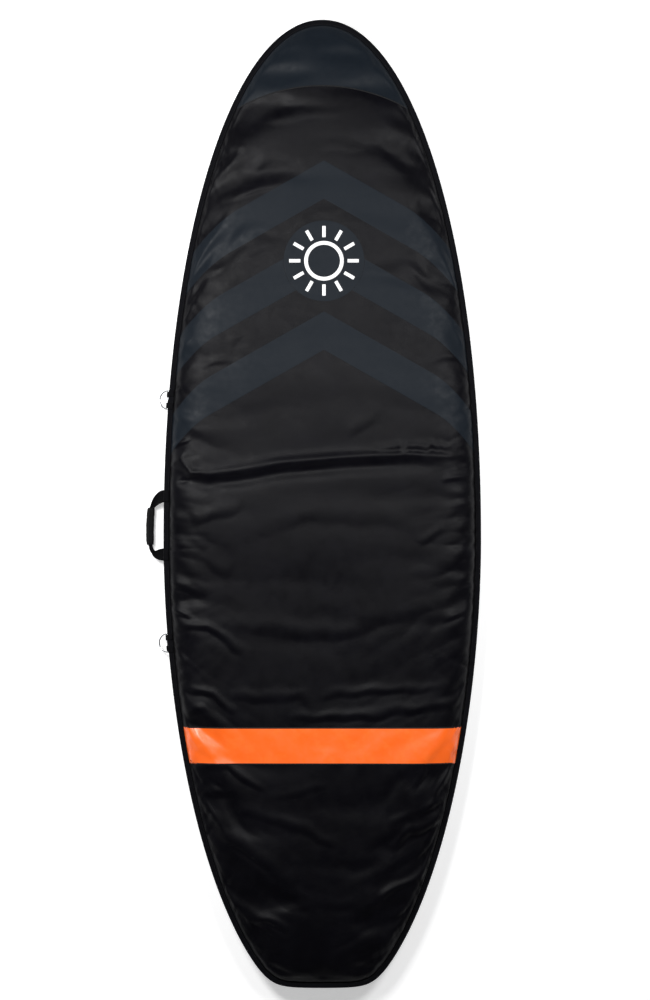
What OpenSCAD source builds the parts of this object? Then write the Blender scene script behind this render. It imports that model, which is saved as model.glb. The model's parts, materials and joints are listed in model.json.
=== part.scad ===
// Padded day bag for a wide, round-nosed paddleboard, lying flat on its underside.
// Two foam-padded half shells with bound edges are joined by a zip that runs round the
// nose, the right side and the tail, and by a fabric spine on the left, where the lid turns.
// +Y points to the nose, +X to the zipped side and +Z up. The origin is on the centreline,
// at the middle of the length, on the underside.

/* [Bag outline] */
// Overall length from nose to tail
bag_length = 2850; // [2700:10:3000]
// Overall width across the bound edges
bag_width = 935; // [860:5:1000]
// Thickness from the underside to the crown
bag_height = 120; // [112:1:140]
// Distance of the widest point behind the middle of the length
widest_back = 105; // [60:5:150]
// Fullness of the nose, where 2 is an ellipse
nose_power = 2.1; // [2:0.05:2.3]
// Fullness of the tail sides, where 2 is an ellipse
tail_power = 1.9; // [1.8:0.05:2]

/* [Edge and rail] */
// Width of the bound flange round both half shells
flange = 17; // [14:1:20]
// Thickness of the folded binding tape
tape = 1.3; // [1:0.1:1.5]
// Width of the rounded rail inside the flange
rail = 113; // [90:1:130]
// Height of the wall between the two bound flanges
wall_height = 24; // [22:1:28]

/* [Layers] */
// Thickness of the outer polyester
cloth = 1.2; // [1:0.1:1.5]
// Thickness of the closed-cell foam
foam = 7; // [4:0.5:10]
// Thickness of the inner lining
lining = 1; // [0.8:0.1:1.5]
// Thickness of a pressed film panel
film = 0.6; // [0.4:0.1:1]
// Clearance on both faces of the foam
foam_gap = 0.3; // [0.2:0.1:0.5]

/* [Graphics] */
// Sideways place of the film panels' centreline
graphic_x = 5; // [0:1:10]
// Apex of the front chevron, from the middle of the length
chevron_y = 1006; // [960:1:1020]
// Distance from one chevron to the next
chevron_pitch = 221; // [200:1:230]
// Length of a chevron band along the bag
chevron_band = 112; // [80:1:120]
// Middle of the round emblem panel
emblem_y = 712; // [700:1:720]
// Radius of the round emblem panel
emblem_r = 118; // [100:1:118]
// Rear edge of the accent stripe
stripe_y = -761; // [-800:1:-700]
// Width of the accent stripe along the bag
stripe_band = 106; // [60:1:140]
// Middle of the nose patch's curved seam
nose_seam_y = 1225; // [1200:5:1260]

/* [Zip] */
// Rear end of the fabric spine
spine_back = -490; // [-520:5:-460]
// Front end of the fabric spine
spine_front = 380; // [370:5:420]
// Place along the right side where the two sliders meet
slider_meet = 145; // [100:5:200]

/* [Handle and rings] */
// Middle of the handle along the bag
handle_y = -63; // [-80:1:-40]
// Distance between the middles of the handle's legs
handle_span = 172; // [160:1:190]
// Reach from the handle's pivot to the middle of its grip
handle_reach = 48; // [46:1:49]
// Droop of the resting handle below level, in degrees
handle_droop = 36; // [30:1:36]
// Place of the front D-ring
ring_front_y = 307; // [290:1:320]
// Place of the rear D-ring
ring_back_y = -410; // [-430:1:-390]
// Droop of the resting D-rings below level, in degrees
ring_droop = 25; // [0:1:45]

/* [Hidden] */
half_width = bag_width / 2;
widest_y = -widest_back;
nose_length = bag_length / 2 + widest_back;
tail_length = bag_length / 2 - widest_back;
side_reach = 1.05 * tail_length;
nose_square = 2.05;
corner_power = 60;
mid_z = bag_height / 2;
// Levels of the upper half; the lower half is its mirror image about mid_z.
flange_under = mid_z + wall_height / 2;
lining_z = flange_under + tape;
cloth_z = lining_z + lining;
cloth_top = cloth_z + cloth;
flange_top = cloth_top + tape;
rise = bag_height - cloth_top;
lower_flange = bag_height - flange_top;
nose_stretch = 2.6;
tail_stretch = 1.8;
edge_step = 5;
rail_steps = 5;
corner_step = 2.5;
// The outline's angles, closer together round the two corners of the tail.
outline_angles = [
    for (a = [0:corner_step:359])
        if (a % edge_step == 0 || abs(abs(a - 270) - 17.5) < 9) a
];
// The zip's track, measured inwards from the edge.
track = 18;
web_half = 0.5;
coil_half = 1.6;
coil_gap = 2;
coil_width = 4.6;
fine_step = 1.25;
fine_from = -15;
fine_to = 30;
spine_fold = 7;
spine_gap = 0.3;
stop_length = 24;
// The chevron arms, from the graphics' centreline.
chevron_slope = 0.57;
chevron_knee = 340;
chevron_drop = 110;
chevron_end = 480;
// Slider and pull.
slider_length = 15;
slider_half = 7;
plate = 1.8;
plate_clear = 1.2;
pin_r = 0.9;
pin_out = 7.2;
eye_r = 2;
pin_clear = 0.05;
// Handle and rings.
webbing = 2.6;
leg_width = 36;
grip_length = 118;
grip_wide = 26;
grip_thick = 16;
sleeve = 2;
pivot_out = 3;
// The pivots hang a little below the lower flange.
handle_drop = 3.7;
ring_drop = 5.2;
ring_wire = 2;
ring_r = 27;
loop_width = 17;
loop_apart = 32;
loop_r = 4.4;
// Webbing patches on the upper edge, above the handle's ends and the ring loops.
patch_deep = 16;
patch_thick = 1.3;
ring_patch_width = 19;
ring_patch_apart = 38;
ring_clear = 0.08;

black = [0.09, 0.09, 0.10];
slate = [0.15, 0.17, 0.20];
trim = [0.05, 0.05, 0.06];
steel = [0.75, 0.76, 0.78];
orange = [1.00, 0.42, 0.16];
white = [0.95, 0.95, 0.95];
grey = [0.30, 0.31, 0.33];

// ---- The outline ----

// How far the tail reaches back at a side angle: the side curve, cut off square with a
// small rounded corner.
function tail_reach(s) =
    let (r = side_reach / tail_length * pow(s, 2 / tail_power))
    tail_length * r / pow(1 + pow(r, corner_power), 1 / corner_power);

// A point of the outline; 0 is the right side, 90 the nose, 180 the left side, 270 the tail.
function edge_point(a) =
    let (c = cos(a), s = sin(a))
    s >= 0
        ? [half_width * sign(c) * pow(abs(c), 2 / nose_square),
           widest_y + nose_length * pow(s, 2 / nose_power)]
        : [half_width * c, widest_y - tail_reach(-s)];

function edge_tangent(a) =
    let (t = edge_point(a + 0.5) - edge_point(a - 0.5))
    t / norm(t);

// The outline moved inwards by d, square to the edge.
function inset(a, d) =
    let (t = edge_tangent(a))
    edge_point(a) - d * [t.y, -t.x];

// The side angle of the outline at a place along the bag, on the right side.
function angle_at(y) =
    y > widest_y
        ? asin(pow((y - widest_y) / nose_length, nose_power / 2))
        : -asin(pow((widest_y - y) / side_reach, tail_power / 2));

function stretch(p) = p.y > widest_y ? nose_stretch : tail_stretch;
function end_length(p) = p.y > widest_y ? nose_length : tail_length;

// A point of the flange's inner edge drawn in towards the widest line by e, and by more
// than that along the bag, so that nose and tail slope gently.
function draw_in(p, e) = [
    p.x * (1 - e / (half_width - flange)),
    widest_y + (p.y - widest_y) * (1 - e * stretch(p) / (end_length(p) - flange))
];

function at_height(points, z) = [for (p = points) [p.x, p.y, z]];
function edge_ring(d, z) = at_height([for (a = outline_angles) inset(a, d)], z);

// One ring of the rail at profile angle t, where 0 is the flange and 90 the crown, moved
// inside the outer cloth by depth. The ring at the flange lies at height flange_z.
function rail_ring(t, depth, flange_z) =
    let (n = [cos(t) / rail, sin(t) / rise] / norm([cos(t) / rail, sin(t) / rise]))
    let (e = rail * (1 - cos(t)) + depth * n.x)
    let (z = t == 0 ? flange_z : cloth_top + rise * sin(t) - depth * n.y)
    at_height([for (a = outline_angles) draw_in(inset(a, flange), e)], z);

function rail_rings(depth, flange_z) =
    [for (i = [0:rail_steps]) rail_ring(90 * i / rail_steps, depth, flange_z)];

// ---- Solids made from rings ----

function flat(list) = [for (part = list) each part];

// Triangles of the band between ring i and ring j, both of n points.
function band(i, j, n) = [
    for (k = [0:n - 1])
        let (m = (k + 1) % n)
        each [[i * n + k, i * n + m, j * n + m], [i * n + k, j * n + m, j * n + k]]
];

// The solid between an outer stack of rings and an inner one. Each stack ends in a flat cap.
module layer(outer, inner) {
    n = len(outer[0]);
    a = len(outer);
    b = len(inner);
    bands_out = [for (i = [0:a - 2]) each band(i + 1, i, n)];
    bands_in = [for (i = [0:b - 2]) each band(a + i, a + i + 1, n)];
    cap_out = [[for (k = [n - 1:-1:0]) (a - 1) * n + k]];
    cap_in = [[for (k = [0:n - 1]) (a + b - 1) * n + k]];
    polyhedron(flat(concat(outer, inner)), concat(bands_out, cap_out, bands_in, cap_in, band(0, a, n)));
}

// The solid under the outer cloth's surface, used to shape the film panels.
module crown(lift) {
    rings = [for (r = rail_rings(0, cloth_top)) [for (p = r) p + [0, 0, lift]]];
    n = len(rings[0]);
    last = len(rings) - 1;
    bands = [for (i = [0:last - 1]) each band(i + 1, i, n)];
    cap = [[for (k = [n - 1:-1:0]) last * n + k]];
    base = [[for (k = [0:n - 1]) k]];
    polyhedron(flat(rings), concat(bands, cap, base));
}

// A section swept along the outline; its points are [distance in from the edge, height].
module edge_sweep(section, angles) {
    n = len(section);
    rings = [for (a = angles) [for (s = section) concat(inset(a, s.x), s.y)]];
    last = len(rings) - 1;
    bands = [for (i = [0:last - 1]) each band(i, i + 1, n)];
    ends = [[for (k = [n - 1:-1:0]) k], [for (k = [0:n - 1]) last * n + k]];
    polyhedron(flat(rings), concat(bands, ends));
}

// The lower half is the upper half's mirror image.
module below() {
    translate([0, 0, bag_height]) mirror([0, 0, 1]) children();
}

// ---- Half shells ----

module half_cloth() {
    layer(concat([edge_ring(tape, cloth_top)], rail_rings(0, cloth_top)),
          concat([edge_ring(tape, cloth_z)], rail_rings(cloth, cloth_z)));
}

module half_foam() {
    layer(rail_rings(cloth + foam_gap, cloth_z), rail_rings(cloth + foam - foam_gap, cloth_z));
}

module half_lining() {
    layer(concat([edge_ring(tape, cloth_z)], rail_rings(cloth + foam, cloth_z)),
          concat([edge_ring(tape, lining_z)], rail_rings(cloth + foam + lining, lining_z)));
}

module half_binding() {
    rings = [
        edge_ring(flange, lining_z), edge_ring(tape, lining_z),
        edge_ring(tape, cloth_top), edge_ring(flange, cloth_top),
        edge_ring(flange, flange_top), edge_ring(0, flange_top),
        edge_ring(0, flange_under), edge_ring(flange, flange_under)
    ];
    n = len(rings[0]);
    m = len(rings);
    polyhedron(flat(rings), [for (i = [0:m - 1]) each band((i + 1) % m, i, n)]);
}

module bottom_shell() color(black) below() half_cloth();
module bottom_foam() color(grey) below() half_foam();
module bottom_lining() color(black) below() half_lining();
module bottom_binding() color(trim) below() half_binding();
module top_shell() color(black) half_cloth();
module top_foam() color(grey) half_foam();
module top_lining() color(black) half_lining();
module top_binding() color(trim) half_binding();

// ---- Zip and spine ----

// The left side's angles, where the zip starts and ends beside the spine.
zip_from = -180 - angle_at(spine_back - stop_length);
zip_to = 180 - angle_at(spine_front + stop_length);

// The zip runs from the spine's rear end round the tail, the right side and the nose.
zip_angles = concat(
    [zip_from], [for (a = [-170:edge_step:179]) if (a > zip_from + 1 && a < fine_from) a],
    [for (a = [fine_from:fine_step:fine_to]) a],
    [for (a = [fine_to + edge_step:edge_step:175]) if (a < zip_to - 1) a], [zip_to]
);

module half_zip_tape() {
    coil_edge = mid_z + coil_gap / 2 + coil_width;
    edge_sweep([
        [track - web_half, coil_edge], [track - web_half, lining_z],
        [track + web_half, lining_z], [track + web_half, coil_edge]
    ], zip_angles);
}

module half_zip_coil() {
    low = mid_z + coil_gap / 2;
    high = low + coil_width;
    edge_sweep([
        [track - coil_half, low + 1], [track - coil_half, high - 1], [track, high],
        [track + coil_half, high - 1], [track + coil_half, low + 1], [track, low]
    ], zip_angles);
}

module lower_zip_tape() color(trim) below() half_zip_tape();
module lower_zip_coil() color(trim) below() half_zip_coil();
module upper_zip_tape() color(trim) half_zip_tape();
module upper_zip_coil() color(trim) half_zip_coil();

// The spine is a strip of cloth with a fold standing out between the flanges.
spine_angles = [
    for (i = [0:12])
        let (y = spine_front + (spine_back - spine_front) * i / 12)
        180 - angle_at(y)
];

module spine_gusset() {
    low = bag_height - lining_z;
    high = lining_z - spine_gap;
    knee = flange_under - spine_gap;
    outer = track - 0.2;
    inner = outer + cloth;
    color(black) edge_sweep([
        [outer, low], [outer, bag_height - knee], [outer - spine_fold, mid_z], [outer, knee], [outer, high],
        [inner, high], [inner, knee], [inner - spine_fold, mid_z], [inner, bag_height - knee], [inner, low]
    ], spine_angles);
}

// A sewn stop closes each end of the zip, on the lower tape.
module zip_stop(from_angle, to_angle) {
    low = bag_height - flange_under + 0.2;
    color(trim) edge_sweep([
        [track - coil_half, low], [track - coil_half, mid_z - coil_gap / 2],
        [track + coil_half, mid_z - coil_gap / 2], [track + coil_half, low]
    ], [from_angle, (from_angle + to_angle) / 2, to_angle]);
}

module zip_stop_front() {
    zip_stop(zip_to + 0.02, 180 - angle_at(spine_front) - 0.02);
}

module zip_stop_back() {
    zip_stop(-180 - angle_at(spine_back) + 0.02, zip_from - 0.02);
}

// ---- Film panels ----

// The part of a flat shape that lies on the crown and rails, as a film on the cloth.
module film_panel() {
    difference() {
        intersection() {
            crown(film);
            linear_extrude(bag_height + 10) intersection() {
                polygon([for (a = outline_angles) inset(a, flange + 3)]);
                children();
            }
        }
        crown(0);
    }
}

// A chevron's arms run straight to the knee and fall away more steeply on the rail.
module chevron(i) {
    y = chevron_y - i * chevron_pitch;
    knee_y = y - chevron_slope * chevron_knee;
    half = [[chevron_knee, knee_y], [chevron_end, knee_y - chevron_drop]];
    front = concat([[0, y]], half);
    back = [for (p = front) p - [0, chevron_band]];
    right = concat(front, [for (i = [len(back) - 1:-1:0]) back[i]]);
    translate([graphic_x, 0]) {
        polygon(right);
        mirror([1, 0]) polygon(right);
    }
}

module emblem_circle(r) {
    translate([graphic_x, emblem_y]) circle(r, $fn = 96);
}

module nose_patch() {
    seam_r = 525;
    color(slate) film_panel() difference() {
        translate([-half_width, nose_seam_y - 120]) square([bag_width, 500]);
        translate([0, nose_seam_y - seam_r]) circle(seam_r, $fn = 96);
    }
}

module chevron_front() color(slate) film_panel() chevron(0);

module chevron_middle() {
    color(slate) film_panel() difference() {
        chevron(1);
        emblem_circle(emblem_r + 0.5);
    }
}

module chevron_back() color(slate) film_panel() chevron(2);

module emblem_panel() {
    color(slate) translate([0, 0, bag_height]) linear_extrude(film) emblem_circle(emblem_r);
}

// A plain sun: an open ring with short rays.
module emblem_mark() {
    rays = 12;
    color(white) translate([graphic_x, emblem_y, bag_height + film]) {
        difference() {
            cylinder(0.4, r = 58, $fn = 96);
            translate([0, 0, -1]) cylinder(3, r = 47, $fn = 96);
        }
        for (i = [0:rays - 1]) rotate(360 / rays * i) translate([69, -5, 0]) cube([33, 10, 0.4]);
    }
}

module accent_stripe() {
    color(orange) film_panel()
        translate([-half_width, stripe_y]) square([bag_width, stripe_band]);
}

// ---- Handle, on the left side below the lower flange ----

// Places children with X outwards from the left edge at y, Y forwards along it, and Z up.
module at_left(y, z) {
    a = 180 - angle_at(y);
    t = edge_tangent(a);
    p = edge_point(a);
    translate([p.x, p.y, z]) rotate(atan2(-t.x, t.y)) mirror([0, 1, 0]) children();
}

module at_handle() at_left(handle_y, lower_flange - handle_drop) translate([pivot_out, 0, 0]) children();
module at_droop(angle) rotate([0, angle, 0]) children();

// A sewn webbing end under the flange; side is 1 for the front leg and -1 for the back one.
module handle_anchor(side) {
    inner = 15;
    color(trim) at_handle() translate([-inner - pivot_out, side * handle_span / 2 - leg_width / 2, 0]) {
        translate([0, 0, -webbing / 2]) cube([inner + pivot_out - 2, leg_width, webbing]);
        cube([inner, leg_width, handle_drop]);
    }
}

module handle_anchor_front() handle_anchor(1);
module handle_anchor_back() handle_anchor(-1);

module handle_flat() {
    bar = grip_wide - 6;
    corner = 16;
    outer = handle_reach + bar / 2;
    wide = handle_span + leg_width;
    difference() {
        hull() {
            translate([2, -wide / 2]) square([1, wide]);
            for (s = [-1, 1]) translate([outer - corner, s * (wide / 2 - corner)]) circle(corner, $fn = 48);
        }
        translate([1, -handle_span / 2 + leg_width / 2])
            square([handle_reach - bar / 2 - 1, handle_span - leg_width]);
    }
}

module handle_webbing() {
    color(trim) at_handle() at_droop(handle_droop)
        translate([0, 0, -webbing / 2]) linear_extrude(webbing) handle_flat();
}

module grip_oval(r_less) {
    scale_wide = grip_wide / 2 - r_less;
    scale_thick = grip_thick / 2 - r_less;
    hull() for (s = [-1, 1]) translate([s * (scale_wide - scale_thick), 0]) circle(scale_thick, $fn = 32);
}

module at_grip() {
    at_handle() at_droop(handle_droop) translate([handle_reach, grip_length / 2, 0])
        rotate([90, 0, 0]) children();
}

module grip_foam() {
    color(grey) at_grip() translate([0, 0, 1]) linear_extrude(grip_length - 2) difference() {
        grip_oval(sleeve);
        square([grip_wide - 6, webbing], center = true);
    }
}

module grip_sleeve() {
    color(trim) at_grip() linear_extrude(grip_length) difference() {
        grip_oval(0);
        grip_oval(sleeve);
    }
}

// ---- D-rings ----

module at_ring(y) at_left(y, lower_flange - ring_drop) translate([pivot_out, 0, 0]) children();

// Two narrow webbing loops hold each ring's bar near its ends.
module ring_loop(y) {
    inner = 14;
    color(trim) at_ring(y) for (s = [-1, 1]) translate([0, s * loop_apart / 2, 0]) difference() {
        union() {
            rotate([90, 0, 0]) cylinder(loop_width, r = loop_r, center = true, $fn = 48);
            translate([-inner - pivot_out, -loop_width / 2, loop_r - webbing])
                cube([inner + pivot_out, loop_width, webbing]);
            translate([-inner - pivot_out, -loop_width / 2, loop_r - webbing])
                cube([inner, loop_width, ring_drop - loop_r + webbing]);
        }
        rotate([90, 0, 0]) cylinder(loop_width + 2, r = ring_wire + ring_clear, center = true, $fn = 48);
    }
}

module ring_loop_front() ring_loop(ring_front_y);
module ring_loop_back() ring_loop(ring_back_y);

// Webbing sewn over the upper edge, from y - width / 2 to y + width / 2.
module edge_patch(y, width) {
    low = flange_top + 0.05;
    high = low + patch_thick;
    edge_sweep([
        [0.5, low], [0.5, high - 0.4], [1, high], [patch_deep - 0.5, high],
        [patch_deep, high - 0.4], [patch_deep, low]
    ], [for (i = [0:4]) 180 - angle_at(y + width / 2 - width * i / 4)]);
}

module handle_patch(side) color(trim) edge_patch(handle_y + side * handle_span / 2, leg_width);
module ring_patch(y) color(trim) for (s = [-1, 1]) edge_patch(y + s * ring_patch_apart / 2, ring_patch_width);

module handle_patch_front() handle_patch(1);
module handle_patch_back() handle_patch(-1);
module ring_patch_front() ring_patch(ring_front_y);
module ring_patch_back() ring_patch(ring_back_y);

module d_ring(y) {
    color(steel) at_ring(y) at_droop(ring_droop) {
        rotate([90, 0, 0]) cylinder(2 * ring_r, r = ring_wire, center = true, $fn = 32);
        rotate(-90) rotate_extrude(angle = 180, $fn = 64) translate([ring_r, 0]) circle(ring_wire, $fn = 32);
        for (s = [-1, 1]) translate([0, s * ring_r, 0]) sphere(ring_wire, $fn = 32);
    }
}

module d_ring_front() d_ring(ring_front_y);
module d_ring_back() d_ring(ring_back_y);

// ---- Sliders and pulls, on the right side ----

// Places children on the zip's track with X outwards, Y along the zip and Z up.
// side is 1 for the front slider and -1 for the back one, which is its mirror image.
module at_slider(side) {
    y = slider_meet + side * (slider_length / 2 + 1);
    a = angle_at(y);
    t = edge_tangent(a);
    p = inset(a, track);
    translate([p.x, p.y, mid_z]) rotate(atan2(-t.x, t.y))
        mirror([0, side > 0 ? 0 : 1, 0]) children();
}

// Two plates embrace the coils, joined by a thin web between them. The plates are open at
// the top, so that the upper coil lifts out with the lid.
module slider(side) {
    inside = coil_half + plate_clear;
    hook_z = coil_gap / 2 + coil_width + 0.6;
    lug_out = pin_out - inside - plate + 2.2;
    color(steel) at_slider(side) {
        for (s = [-1, 1]) translate([s * (inside + plate / 2), 0, 0])
            cube([plate, slider_length, 2 * slider_half], center = true);
        cube([2 * inside, slider_length - 2, 0.8], center = true);
        for (s = [-1, 1]) translate([s * (inside - 0.6), 0, -hook_z - 0.4])
            cube([1.2, slider_length, 0.8], center = true);
        for (s = [-1, 1]) translate([inside + plate + lug_out / 2, -3, s * 4.8])
            cube([lug_out, 5, 1.4], center = true);
        translate([pin_out, -3, 0]) cylinder(9.6, r = pin_r, center = true, $fn = 32);
    }
}

module at_pull(side) at_slider(side) translate([pin_out, -3, 0]) children();

module pull_tab(side) {
    color(steel) at_pull(side) difference() {
        union() {
            cylinder(7.4, r = eye_r, center = true, $fn = 32);
            translate([-0.8, 0, -3.2]) cube([1.6, 24, 6.4]);
        }
        cylinder(10, r = pin_r + pin_clear, center = true, $fn = 32);
    }
}

module pull_grip(side) {
    color(trim) at_pull(side) difference() {
        translate([0, 18, 0]) rotate([-90, 0, 0]) linear_extrude(38) offset(1.2, $fn = 24)
            square([2.6, 7.6], center = true);
        translate([-0.8, 10, -3.2]) cube([1.6, 14, 6.4]);
    }
}

module slider_front() slider(1);
module slider_back() slider(-1);
module pull_tab_front() pull_tab(1);
module pull_tab_back() pull_tab(-1);
module pull_grip_front() pull_grip(1);
module pull_grip_back() pull_grip(-1);

bottom_shell();
bottom_foam();
bottom_lining();
bottom_binding();
lower_zip_tape();
lower_zip_coil();
spine_gusset();
zip_stop_front();
zip_stop_back();
handle_anchor_front();
handle_anchor_back();
ring_loop_front();
ring_loop_back();
top_shell();
top_foam();
top_lining();
top_binding();
upper_zip_tape();
upper_zip_coil();
nose_patch();
chevron_front();
chevron_middle();
chevron_back();
emblem_panel();
emblem_mark();
accent_stripe();
handle_patch_front();
handle_patch_back();
ring_patch_front();
ring_patch_back();
handle_webbing();
grip_foam();
grip_sleeve();
d_ring_front();
d_ring_back();
slider_front();
slider_back();
pull_tab_front();
pull_tab_back();
pull_grip_front();
pull_grip_back();
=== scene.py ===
import json
import math

import bmesh
import bpy
import numpy as np
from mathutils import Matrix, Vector
from mathutils.bvhtree import BVHTree


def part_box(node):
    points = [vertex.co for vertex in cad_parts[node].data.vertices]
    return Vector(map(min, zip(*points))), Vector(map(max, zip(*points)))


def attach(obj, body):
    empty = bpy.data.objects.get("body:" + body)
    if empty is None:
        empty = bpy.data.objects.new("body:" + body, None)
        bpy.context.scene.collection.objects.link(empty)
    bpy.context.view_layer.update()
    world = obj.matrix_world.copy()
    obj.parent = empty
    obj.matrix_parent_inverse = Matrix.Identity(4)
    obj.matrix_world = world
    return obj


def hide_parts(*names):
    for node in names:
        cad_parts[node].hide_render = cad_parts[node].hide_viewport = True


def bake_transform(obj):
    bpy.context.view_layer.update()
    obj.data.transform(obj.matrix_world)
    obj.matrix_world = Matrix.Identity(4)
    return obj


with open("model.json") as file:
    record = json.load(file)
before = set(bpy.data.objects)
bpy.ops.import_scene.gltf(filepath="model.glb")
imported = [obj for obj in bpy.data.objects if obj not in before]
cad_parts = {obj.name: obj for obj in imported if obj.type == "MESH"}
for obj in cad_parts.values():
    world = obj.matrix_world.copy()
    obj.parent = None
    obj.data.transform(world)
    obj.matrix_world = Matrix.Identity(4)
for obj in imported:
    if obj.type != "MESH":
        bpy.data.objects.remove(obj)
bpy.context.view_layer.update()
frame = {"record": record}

# A padded board bag, lying flat. Metres, +Y to the nose, +X to the zipped side, +Z up.
# The looks of each soft part are built here on the sizes that the CAD nodes give.

RNG = np.random.default_rng(7)

# ---- Sizes, from the frame ----

EDGE_LOW, EDGE_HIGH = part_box("top_binding")
SHELL_LOW, SHELL_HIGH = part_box("top_shell")
LINING_LOW, LINING_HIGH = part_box("top_lining")
HALF_WIDTH = (EDGE_HIGH.x - EDGE_LOW.x) / 2
WIDEST_Y = -0.105
NOSE_LENGTH = EDGE_HIGH.y - WIDEST_Y
TAIL_LENGTH = EDGE_HIGH.y + WIDEST_Y
SIDE_REACH = 1.05 * TAIL_LENGTH
NOSE_POWER, NOSE_SQUARE, TAIL_POWER, CORNER_POWER = 2.1, 2.05, 1.9, 60
FLANGE = 0.017
EDGE_CLOTH = 0.0012
RAIL = 0.113
TANGENT_STEP = 0.008
NOSE_STRETCH, TAIL_STRETCH = 2.6, 1.8
INNER_HALF = HALF_WIDTH - FLANGE
FLANGE_UNDER, FLANGE_TOP = EDGE_LOW.z, EDGE_HIGH.z
CLOTH_TOP = SHELL_LOW.z + EDGE_CLOTH
CROWN = SHELL_HIGH.z
RISE = CROWN - CLOTH_TOP
MID_Z = CROWN / 2
BACK_DEPTH = CROWN - LINING_HIGH.z
LINING_THICK = 0.001
TRACK = 0.018
EMBLEM_LOW, EMBLEM_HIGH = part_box("emblem_panel")
GRAPHIC_X = (EMBLEM_LOW.x + EMBLEM_HIGH.x) / 2


# ---- The outline and the crowned surface, as in the CAD ----

def edge_point(a):
    """The outline at side angle a: 0 is the right side, a quarter turn the nose."""
    c, s = np.cos(a), np.sin(a)
    nose = np.stack([HALF_WIDTH * np.sign(c) * np.abs(c) ** (2 / NOSE_SQUARE),
                     WIDEST_Y + NOSE_LENGTH * np.abs(s) ** (2 / NOSE_POWER)], -1)
    r = SIDE_REACH / TAIL_LENGTH * np.abs(s) ** (2 / TAIL_POWER)
    reach = TAIL_LENGTH * r / (1 + r ** CORNER_POWER) ** (1 / CORNER_POWER)
    tail = np.stack([HALF_WIDTH * c, WIDEST_Y - reach], -1)
    return np.where((s >= 0)[..., None], nose, tail)


def unit(v):
    return v / np.linalg.norm(v, axis=-1, keepdims=True)


def inset(a, d):
    """The outline moved inwards by d, square to the edge."""
    t = unit(edge_point(a + TANGENT_STEP) - edge_point(a - TANGENT_STEP))
    return edge_point(a) - np.asarray(d)[..., None] * np.stack([t[..., 1], -t[..., 0]], -1)


def edge_row(a, d, z):
    """Points at angles a round the bag, d inside the outline and at height z."""
    zero = np.zeros(len(a))
    return np.column_stack([inset(a, zero + d), zero + z])


DENSE = np.linspace(-np.pi, np.pi, 6001)
DENSE_LENGTH = np.concatenate(
    [[0], np.cumsum(np.linalg.norm(np.diff(edge_point(DENSE), axis=0), axis=1))])
PERIMETER = DENSE_LENGTH[-1]


def length_at(a):
    """Length along the outline from the left side, backwards round the tail, to angle a."""
    return np.interp((a + np.pi) % (2 * np.pi) - np.pi, DENSE, DENSE_LENGTH)


def angle_at_length(s):
    return np.interp(np.asarray(s) % PERIMETER, DENSE_LENGTH, DENSE)


def half_width_at(y):
    """Half the bag's width at a place along it."""
    nose = np.clip((y - WIDEST_Y) / NOSE_LENGTH, 0, 1) ** (NOSE_POWER / 2)
    tail = np.clip((WIDEST_Y - y) / SIDE_REACH, 0, 1) ** (TAIL_POWER / 2)
    wide = np.sqrt(1 - nose ** 2) ** (2 / NOSE_SQUARE)
    return HALF_WIDTH * np.where(y > WIDEST_Y, wide, np.sqrt(1 - tail ** 2))


def surface(rho, a, depth=0.0):
    """A point of the upper half's crowned surface, depth inside it. rho is 0 in the middle
    and 1 at the flange."""
    e = INNER_HALF * (1 - rho)
    t = np.arccos(np.clip(1 - e / RAIL, 0, 1))
    n = unit(np.stack([np.cos(t) / RAIL, np.sin(t) / RISE], -1))
    e = e + depth * n[..., 0]
    base = inset(a, np.full_like(a, FLANGE))
    along = base[..., 1] - WIDEST_Y
    nose = along > 0
    k = np.where(nose, NOSE_STRETCH / (NOSE_LENGTH - FLANGE), TAIL_STRETCH / (TAIL_LENGTH - FLANGE))
    on_rail = 1 - k * e
    rho_r = 1 - RAIL / INNER_HALF
    inside = (1 - k * RAIL) * rho / rho_r
    y = WIDEST_Y + along * np.where(e > RAIL, inside, on_rail)
    x = base[..., 0] * (1 - e / INNER_HALF)
    z = CLOTH_TOP + RISE * np.sin(t) - depth * n[..., 1]
    return np.stack([x, y, z], -1)


def disc_grid(across, along):
    """A square grid spread over a round disc: each point's radius and angle."""
    u, v = np.meshgrid(np.linspace(-1, 1, across + 1), np.linspace(-1, 1, along + 1), indexing="ij")
    x, y = u * np.sqrt(1 - v * v / 2), v * np.sqrt(1 - u * u / 2)
    return np.hypot(x, y), np.arctan2(y, x)


def grid_faces(n, m, first=0, flip=False):
    """Quads of a grid of n by m points."""
    i = np.arange(n * m).reshape(n, m) + first
    q = np.stack([i[:-1, :-1], i[1:, :-1], i[1:, 1:], i[:-1, 1:]], -1).reshape(-1, 4)
    return (q[:, ::-1] if flip else q).tolist()


def rim_of(n, m):
    """The grid's border, once round, starting at the first point and going along the first axis."""
    i = np.arange(n * m).reshape(n, m)
    return np.concatenate([i[:-1, 0], i[-1, :-1], i[:0:-1, -1], i[0, :0:-1]])


# ---- Small helpers ----

def linked(obj):
    bpy.context.scene.collection.objects.link(obj)
    return obj


def mesh_object(name, points, faces, smooth=True):
    mesh = bpy.data.meshes.new(name)
    mesh.from_pydata(np.asarray(points, float).reshape(-1, 3).tolist(), [], faces)
    mesh.update()
    mesh.polygons.foreach_set("use_smooth", [smooth] * len(mesh.polygons))
    return linked(bpy.data.objects.new(name, mesh))


def mesh_from(bm, name):
    mesh = bpy.data.meshes.new(name)
    bm.to_mesh(mesh)
    bm.free()
    return mesh


def tube_faces(n, k, closed=False):
    """Quads round n rings of k points, with flat ends unless the last ring meets the first."""
    faces = []
    for i in range(n if closed else n - 1):
        j = (i + 1) % n
        faces += [[i * k + a, i * k + (a + 1) % k, j * k + (a + 1) % k, j * k + a] for a in range(k)]
    if not closed:
        faces += [list(range(k))[::-1], [(n - 1) * k + a for a in range(k)]]
    return faces


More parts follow.
